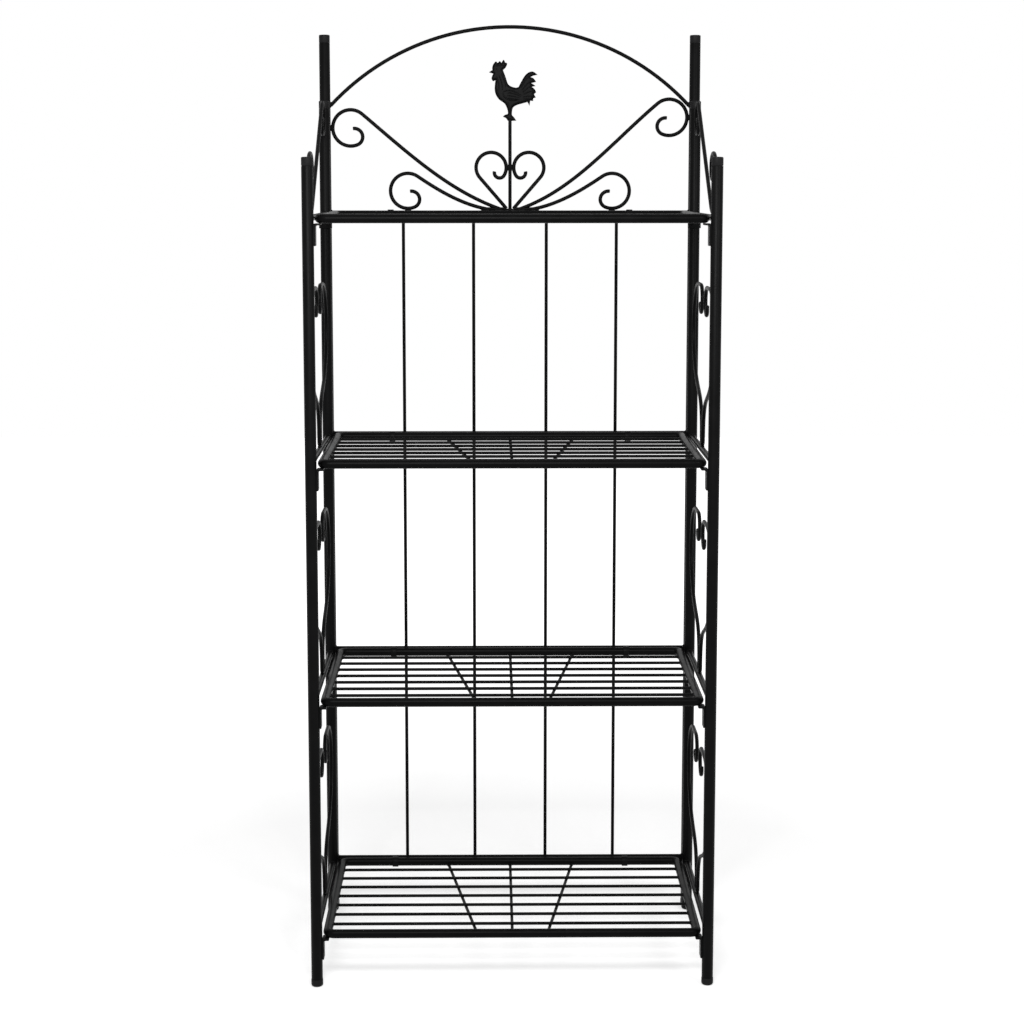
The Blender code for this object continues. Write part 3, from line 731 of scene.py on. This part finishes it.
def build_sides():
    half = side_heart()
    outline = [(-y, z) for y, z in reversed(half)] + half
    rear, front, ess = side_scroll()
    lobe_z = HEART_TOP - HEART_LOBE_R
    for word, side in SIDES:
        x = side * POST_X
        body = f"{word}_side"
        welds = bmesh.new()
        bm = bmesh.new()
        tube(bm, x, FRONT_Y, FOOT_H + GAP, FRONT_POST_H - CAP_H - GAP)
        for z in LEVELS:
            seat(bm, side, z)
            for y in (SEAT_BACK - SEAT_W / 2 + 0.0022, SEAT_BACK + SEAT_W / 2 - 0.0120):
                spot = z - TUBE_R - SEAT_H * 0.60
                reach = math.sqrt(POST_R**2 - min(abs(y), POST_R * 0.8) ** 2)
                blob(welds, (x - side * (reach + 0.0006), FRONT_Y + y, spot), SEAT_BEAD)
        coated(f"{word}_front_post", bm, body)
        bm = bmesh.new()
        tube(bm, x, REAR_Y, FOOT_H + GAP, REAR_POST_H - CAP_H - GAP)
        coated(f"{word}_rear_post", bm, body)
        for end, y, height in (("front", FRONT_Y, FRONT_POST_H), ("rear", REAR_Y, REAR_POST_H)):
            plug(f"{word}_{end}_cap", x, y, height - CAP_H, body, True)
            plug(f"{word}_{end}_foot", x, y, FOOT_H, body, False)
        for level, z in zip(LEVEL_NAMES, LEVELS):
            bm = bmesh.new()
            reach = SIDE_HALF + BAR_BITE
            line = [(x, SIDE_MID_Y - reach + 2 * reach * k / 14, z) for k in range(15)]
            sweep(bm, line, BAR_R, 24, ease=0.05)
            coated(f"{word}_crossbar_{level}", bm, body)
            saddle(welds, Vector((x, FRONT_Y, z)), -Y_AXIS, Z_AXIS, BAR_R, POST_R, BAR_BEAD)
            saddle(welds, Vector((x, REAR_Y, z)), Y_AXIS, Z_AXIS, BAR_R, POST_R, BAR_BEAD)
        for level, z in zip(LEVEL_NAMES, LEVELS[:-1]):
            bm = bmesh.new()
            sweep(bm, [(x, SIDE_MID_Y + y, z + v) for y, v in outline], ROD_R, 18, ease=0.45)
            coated(f"{word}_heart_{level}", bm, body)
            low = Vector((x, SIDE_MID_Y, z + BAR_R + GAP / 2))
            two_beads(welds, low, Y_AXIS, X_AXIS, ROD_R * 0.8, HEART_FOOT_BEAD)
            for way in (-1, 1):
                touch = Vector((x, SIDE_MID_Y + way * (SIDE_HALF - GAP / 2), z + lobe_z))
                two_beads(welds, touch, Z_AXIS, X_AXIS, ROD_R * 0.8, HEART_LOBE_BEAD)
        bm = bmesh.new()
        sweep(bm, [(x, SIDE_MID_Y + y, v) for y, v in ess], ROD_R, 18, ease=0.45)
        coated(f"{word}_scroll", bm, body)
        for y, v, way in (
            (SIDE_HALF - GAP / 2, rear[1], Z_AXIS),
            (-SIDE_HALF + GAP / 2, front[1], Z_AXIS),
            (front[0], TOP_Z + BAR_R + GAP / 2, Y_AXIS),
        ):
            touch = Vector((x, SIDE_MID_Y + y, v))
            two_beads(welds, touch, way, X_AXIS, ROD_R * 0.8, S_BEAD)
        piece(f"{word}_side_welds", welds, body)


# Shelves
def shelf_loop(z):
    reach = SHELF_X - SHELF_CORNER_R
    corners = (
        ((reach, -SHELF_CORNER_R), 0.0),
        ((-reach, -SHELF_CORNER_R), math.pi / 2),
        ((-reach, -SHELF_DEPTH + SHELF_CORNER_R), math.pi),
        ((reach, -SHELF_DEPTH + SHELF_CORNER_R), 1.5 * math.pi),
    )
    points = []
    for centre, begin in corners:
        points += arc(centre, SHELF_CORNER_R, begin, math.pi / 2, math.radians(7))
    return [(px, HINGE_Y + py, z) for px, py in points]


def build_shelves():
    for level, z in zip(LEVEL_NAMES, LEVELS):
        body = f"{level}_shelf"
        bm = bmesh.new()
        sweep(bm, shelf_loop(z), TUBE_R, 28, loop=True)
        coated(f"{level}_shelf_frame", bm, body)
        bm = bmesh.new()
        welds = bmesh.new()
        reach = SHELF_X - TUBE_R * 0.85
        for i in range(SHELF_WIRES):
            y = HINGE_Y - WIRE_PITCH * (i + 1)
            sweep(bm, [(-reach + 2 * reach * k / 24, y, z) for k in range(25)], WIRE_R, 14, ease=0.05)
            for _, side in SIDES:
                host = Vector((side * SHELF_X, y, z))
                saddle(welds, host, X_AXIS * side, Y_AXIS, WIRE_R, TUBE_R, SHELF_WIRE_BEAD, 20)
            for back_x, front_x in TIES:
                share = WIRE_PITCH * (i + 1) / SHELF_DEPTH
                spot = (back_x + (front_x - back_x) * share, y, z - TIE_DROP / 2)
                blob(welds, spot, TIE_BEAD, fine=1)
        ends = TUBE_R * 0.72 / SHELF_DEPTH
        for back_x, front_x in TIES:
            line = []
            for k in range(17):
                share = ends + (1 - 2 * ends) * k / 16
                x = back_x + (front_x - back_x) * share
                line.append((x, HINGE_Y - SHELF_DEPTH * share, z - TIE_DROP))
            sweep(bm, line, WIRE_R, 14, ease=0.05)
            for at, way in ((line[0], -1), (line[-1], 1)):
                blob(welds, (at[0], at[1] + way * 0.0012, at[2]), TIE_END_BEAD)
        coated(f"{level}_shelf_wires", bm, body)
        piece(f"{level}_shelf_welds", welds, body)


# Cockerel, millimetres right of the stem and above its top; a corner keeps its point
OUTLINE = [
    ("base right", 3.4, 0.3, True),
    ("right toe", 10.8, 0.6, True),
    ("right toe top", 6.8, 6.2, False),
    ("right shank", 3.3, 11.0, False),
    ("right thigh", 4.8, 21.4, False),
    ("flank", 10.6, 26.0, False),
    ("rump", 20.4, 29.0, False),
    ("lowest plume root", 29.2, 31.4, True),
    ("lowest plume", 32.8, 25.4, True),
    ("sixth notch", 33.8, 33.6, True),
    ("sixth plume", 38.8, 33.2, True),
    ("fifth notch", 38.8, 37.4, True),
    ("fifth plume", 43.2, 39.0, True),
    ("fourth notch", 40.2, 44.4, True),
    ("fourth plume", 43.8, 47.6, True),
    ("fourth plume back", 41.4, 52.4, False),
    ("third notch", 36.6, 56.6, True),
    ("third plume", 42.8, 57.8, True),
    ("third plume back", 38.6, 61.0, False),
    ("second notch", 35.6, 62.6, True),
    ("second plume", 43.8, 64.6, True),
    ("second plume back", 39.4, 70.4, False),
    ("first notch", 34.4, 72.6, True),
    ("first plume under", 39.6, 75.0, False),
    ("first plume", 46.2, 76.2, True),
    ("tail top", 38.4, 81.6, False),
    ("tail front", 30.0, 79.6, False),
    ("tail rise", 22.6, 71.6, False),
    ("tail base", 14.2, 56.2, True),
    ("saddle", 9.0, 55.2, False),
    ("back", 0.4, 58.0, False),
    ("neck foot", -3.8, 62.4, False),
    ("neck", -7.6, 73.6, False),
    ("nape", -11.6, 84.2, True),
    ("comb heel", -7.2, 88.2, False),
    ("comb back", -4.6, 94.6, False),
    ("comb third notch", -8.0, 96.6, True),
    ("comb top", -10.6, 101.0, False),
    ("comb second notch", -14.2, 96.0, True),
    ("comb second point", -17.2, 98.8, False),
    ("comb first notch", -20.4, 95.6, True),
    ("comb first point", -23.8, 98.2, False),
    ("comb front", -28.0, 93.2, False),
    ("brow", -29.6, 88.0, False),
    ("beak root", -29.4, 84.2, True),
    ("beak tip", -35.2, 80.4, True),
    ("under beak", -28.0, 78.2, True),
    ("wattle front", -30.8, 70.8, False),
    ("wattle", -28.2, 66.0, False),
    ("throat", -24.4, 67.4, True),
    ("chest", -25.6, 53.4, False),
    ("breast", -23.8, 44.2, False),
    ("belly", -18.4, 35.8, False),
    ("left thigh", -8.0, 27.6, False),
    ("left shank", -3.3, 13.4, False),
    ("left toe top", -8.6, 10.2, False),
    ("left toe", -11.4, 7.2, False),
    ("left sole", -6.8, 4.8, False),
    ("base left", -3.4, 0.3, True),
]


def smooth_outline(steps=6):
    """The outline with its round stretches drawn as curves through the same points."""
    count = len(OUTLINE)
    spots = [Vector((x, z)) for _, x, z, _ in OUTLINE]
    corner = [c for _, _, _, c in OUTLINE]
    slopes = []
    for i in range(count):
        slopes.append(Vector((0, 0)) if corner[i] else (spots[(i + 1) % count] - spots[i - 1]) * 0.5)
    points = []
    for i in range(count):
        j = (i + 1) % count
        a, b = spots[i], spots[j]
        lead = slopes[i] if not corner[i] else (b - a) * 0.6
        trail = slopes[j] if not corner[j] else (b - a) * 0.6
        for k in range(steps):
            t = k / steps
            points.append(
                a * (2 * t**3 - 3 * t * t + 1)
                + lead * (t**3 - 2 * t * t + t)
                + b * (-2 * t**3 + 3 * t * t)
                + trail * (t**3 - t * t)
            )
    return points


# Raised strokes on the cockerel: start, two guides, end, and the widths at start, middle and end
STROKES = [
    ("hackle 1", (-22.5, 74), (-20, 66), (-17, 58), (-19, 49), 0.9, 1.5, 0.4),
    ("hackle 2", (-18.5, 76), (-15, 68), (-12, 60), (-13, 50), 0.9, 1.5, 0.4),
    ("hackle 3", (-14.5, 78), (-11, 71), (-8, 64), (-7, 55), 0.9, 1.4, 0.4),
    ("breast", (-23.4, 60), (-23, 54), (-21, 47), (-17, 41), 0.5, 1.3, 0.4),
    ("wing bow", (-12, 47), (-11, 36), (2, 31), (17, 36), 1.0, 2.0, 0.6),
    ("wing top", (-11, 48), (-4, 53), (8, 51), (19, 42), 1.0, 1.9, 0.6),
    ("wing feather 1", (-5, 46), (2, 47), (10, 45), (18, 40), 0.8, 1.5, 0.5),
    ("wing feather 2", (-5, 42), (2, 42), (9, 40), (17, 38), 0.8, 1.4, 0.5),
    ("wing feather 3", (-4, 38), (2, 37), (9, 36), (15, 36), 0.8, 1.3, 0.5),
    ("sickle", (18, 54), (25, 68), (32, 80), (43.6, 76.9), 1.0, 1.7, 0.6),
    ("tail 2", (20, 51), (28, 62), (35, 69), (41.8, 65.4), 0.9, 1.5, 0.5),
    ("tail 3", (21, 47.5), (29, 54), (36, 60.5), (41.0, 58.4), 0.9, 1.5, 0.5),
    ("tail 4", (22, 44), (29, 47), (36, 51.5), (42.4, 48.2), 0.9, 1.4, 0.5),
    ("tail 5", (22, 40), (28, 40.5), (35, 42.5), (41.6, 39.8), 0.9, 1.3, 0.5),
    ("tail 6", (22, 36.5), (28, 37), (33, 36.5), (37.6, 34.4), 0.8, 1.2, 0.5),
    ("thigh", (-4, 31), (-2, 26), (-1, 20), (0, 12), 1.6, 1.6, 0.9),
    ("comb ridge", (-26, 90.5), (-21, 91), (-14, 91), (-8.5, 92), 0.7, 1.2, 0.5),
    ("wattle", (-27.4, 75.5), (-28.4, 73), (-28.8, 71), (-27.8, 68.6), 0.6, 1.2, 0.6),
]
STROKE_STEPS = 16
STROKE_FULL = 1.2
STROKE_SCALE = 0.9
EYE_AT = (-22.3, 85.6)
EYE_SIZE = (1.5, 0.7, 1.5)
# The crown reaches its height this far from the edge; its inner points keep off the rim and lie on a grid
PLATE_REACH = 4.5
PLATE_RIM = 0.7
PLATE_GRID_X = range(-36, 49)
PLATE_GRID_Z = range(103)
EDGE_STEPS = 8


def inside(shape, x, z):
    """Whether a point lies within the outline."""
    within = False
    for a, b in zip(shape, shape[1:] + shape[:1]):
        if (a.y > z) != (b.y > z) and x < a.x + (b.x - a.x) * (z - a.y) / (b.y - a.y):
            within = not within
    return within


def crowned_plate(bm, shape, edge):
    """The cut plate, its two faces pressed up from the edge to the middle; gives the height at a point."""

    def height(x, z):
        away = min(edge.find((x, z, 0))[2] / PLATE_REACH, 1)
        return PLATE_EDGE + PLATE_CROWN * away * (2 - away)

    count = len(shape)
    spots = list(shape)
    for i in PLATE_GRID_X:
        for k in PLATE_GRID_Z:
            x, z = i + 0.5 * (k % 2), k * 1.0
            if edge.find((x, z, 0))[2] > PLATE_RIM and inside(shape, x, z):
                spots.append(Vector((x, z)))
    rim = [(i, (i + 1) % count) for i in range(count)]
    flat, _, faces, _, _, _ = delaunay_2d_cdt(spots, rim, [], 1, 1e-5)
    sheets = []
    for depth in (-1, 1):
        sheet = []
        for x, z in flat:
            sheet.append(bm.verts.new((x * MM, UPRIGHT_Y + depth * height(x, z), STEM_TOP_Z + z * MM)))
        for face in faces:
            bm.faces.new([sheet[i] for i in face])
        sheets.append(sheet)
    for i, j in rim:
        bm.faces.new((sheets[0][i], sheets[0][j], sheets[1][j], sheets[1][i]))
    return height


def build_cockerel():
    bm = bmesh.new()
    shape = smooth_outline()
    edge = KDTree(len(shape) * EDGE_STEPS)
    for i, (a, b) in enumerate(zip(shape, shape[1:] + shape[:1])):
        for k in range(EDGE_STEPS):
            edge.insert((*a.lerp(b, k / EDGE_STEPS), 0), i)
    edge.balance()
    height = crowned_plate(bm, shape, edge)
    for _, first, lead, trail, last, start_w, middle_w, end_w in STROKES:
        path = bezier(first, lead, trail, last, STROKE_STEPS)
        sizes = []
        for k in range(STROKE_STEPS + 1):
            t = k / STROKE_STEPS
            size = start_w * (1 - t) ** 2 + 2 * middle_w * t * (1 - t) * STROKE_FULL + end_w * t * t
            sizes.append(size * MM * STROKE_SCALE)
        for depth in (-1, 1):
            line = [(x * MM, UPRIGHT_Y + depth * height(x, z), STEM_TOP_Z + z * MM) for x, z in path]
            sweep(bm, line, sizes, 12, ease=0.6, flat=0.8, flat_way=Y_AXIS)
    for depth in (-1, 1):
        eye = (EYE_AT[0] * MM, UPRIGHT_Y + depth * height(*EYE_AT), STEM_TOP_Z + EYE_AT[1] * MM)
        blob(bm, eye, [size * MM for size in EYE_SIZE])
    coated("rooster", bm, "back_frame")


BACK_WELDS = bmesh.new()
build_uprights()
build_rails(BACK_WELDS)
build_back_wires(BACK_WELDS)
build_crest(BACK_WELDS)
piece("back_frame_welds", BACK_WELDS, "back_frame")
build_cockerel()
build_sides()
build_shelves()


# Studio
SKY_LIGHT = 0.33
FLOOR_NEAR = 0.52
FLOOR_FADE = (0.8, 2.4)
FLOOR_HALF = 7
CAMERA_LENS = 74.32
CAMERA_SHIFT = -0.05
CAMERA_AT = (-0.0360, -3.4, 1.2648)
CAMERA_DOWN = 7.56
CAMERA_TURN = -0.63


def floor():
    """A plain floor that keeps the object's shadow and goes to white away from it."""
    mesh = bpy.data.meshes.new("floor")
    bm = bmesh.new()
    bmesh.ops.create_grid(bm, x_segments=4, y_segments=4, size=FLOOR_HALF)
    bm.to_mesh(mesh)
    bm.free()
    obj = bpy.data.objects.new("floor", mesh)
    bpy.context.scene.collection.objects.link(obj)
    look = bpy.data.materials.new("studio_floor")
    look.use_nodes = True
    tree = look.node_tree
    shader = tree.nodes["Principled BSDF"]
    shader.inputs["Base Color"].default_value = (0.9, 0.9, 0.9, 1)
    shader.inputs["Roughness"].default_value = 0.9
    shader.inputs["Specular IOR Level"].default_value = 0.0
    shader.inputs["Emission Color"].default_value = (1, 1, 1, 1)
    reach = node(tree, "ShaderNodeVectorMath", operation="LENGTH")
    tree.links.new(node(tree, "ShaderNodeTexCoord").outputs["Object"], reach.inputs[0])
    white = spread(tree, reach.outputs["Value"], *FLOOR_FADE, FLOOR_NEAR, 1.0)
    glow = node(tree, "ShaderNodeMath", operation="MULTIPLY")
    tree.links.new(white, glow.inputs[0])
    tree.links.new(in_view(tree), glow.inputs[1])
    tree.links.new(glow.outputs[0], shader.inputs["Emission Strength"])
    mesh.materials.append(look)


def in_view(tree):
    """1 for a ray from the camera or out of a reflection or glass, 0 for one that only carries light."""
    path = node(tree, "ShaderNodeLightPath")
    seen = path.outputs["Is Camera Ray"]
    for key in ("Is Glossy Ray", "Is Transmission Ray"):
        larger = node(tree, "ShaderNodeMath", operation="MAXIMUM")
        tree.links.new(seen, larger.inputs[0])
        tree.links.new(path.outputs[key], larger.inputs[1])
        seen = larger.outputs[0]
    return seen


def backdrop():
    """White behind the object and in its reflections, softer as a light."""
    world = bpy.data.worlds.new("studio")
    world.use_nodes = True
    bpy.context.scene.world = world
    tree = world.node_tree
    sky = tree.nodes["Background"]
    sky.inputs["Color"].default_value = (1, 1, 1, 1)
    tree.links.new(spread(tree, in_view(tree), 0, 1, SKY_LIGHT, 1.0), sky.inputs["Strength"])


def lamp(name, location, target, size, power):
    data = bpy.data.lights.new(name, "AREA")
    data.shape = "RECTANGLE"
    data.size, data.size_y = size
    data.energy = power
    obj = bpy.data.objects.new(name, data)
    obj.location = location
    way = Vector(target) - Vector(location)
    obj.rotation_euler = way.to_track_quat("-Z", "Y").to_euler()
    bpy.context.scene.collection.objects.link(obj)


def camera():
    data = bpy.data.cameras.new("camera")
    data.lens = CAMERA_LENS
    data.sensor_width = 36
    data.shift_y = CAMERA_SHIFT
    obj = bpy.data.objects.new("camera", data)
    obj.location = CAMERA_AT
    obj.rotation_euler = (math.radians(90 - CAMERA_DOWN), 0, math.radians(CAMERA_TURN))
    bpy.context.scene.collection.objects.link(obj)
    bpy.context.scene.camera = obj


floor()
backdrop()
lamp("key", (-0.2, -1.7, 1.7), (0, 0, 1.3), (1.0, 0.45), 28)
lamp("fill", (1.3, -1.6, 1.9), (0, 0, 1.2), (0.8, 0.8), 12)
camera()
bpy.context.scene.view_settings.view_transform = "Standard"
